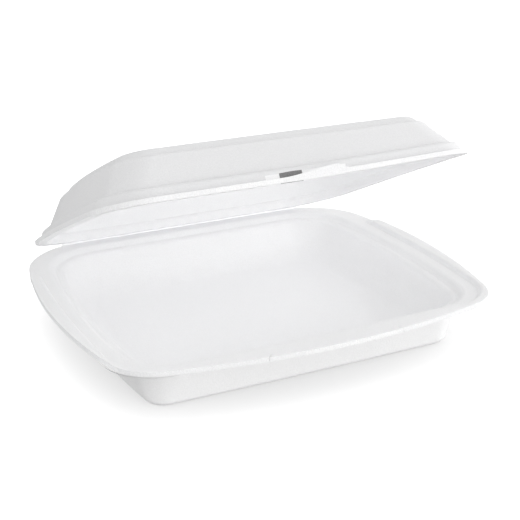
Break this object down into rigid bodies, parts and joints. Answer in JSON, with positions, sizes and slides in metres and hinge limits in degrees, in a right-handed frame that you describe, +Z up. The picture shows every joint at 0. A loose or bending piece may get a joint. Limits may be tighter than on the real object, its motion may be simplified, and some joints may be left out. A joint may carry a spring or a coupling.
{
  "type": "foam clamshell container",
  "caption": "White foam take-away box with a stepped nesting rim, a domed lid, a tongue-and-slot front latch and a living hinge along the back; the lid opens flat.",
  "frame": {"origin": "middle of the tray's flat underside, under the middle of its rim", "axes": "+X along the hinge, to the right seen from the front; +Y from the front lip to the hinge; +Z up"},
  "size_m": [0.24, 0.2164, 0.1246],
  "materials": {
    "foam": "matte, fine foam grain"
  },
  "bodies": {
    "base": {"base_tray": "foam", "living_hinge": "foam"},
    "lid": {"lid": "foam"}
  },
  "joints": [
    {"name": "lid_hinge", "type": "hinge", "parent": "base", "child": "lid", "pos_m": [0, 0.1065, 0.0288], "axis": [-1, 0, 0], "range_deg": [-23.3, 156.6], "deforming": ["living_hinge"]}
  ]
}
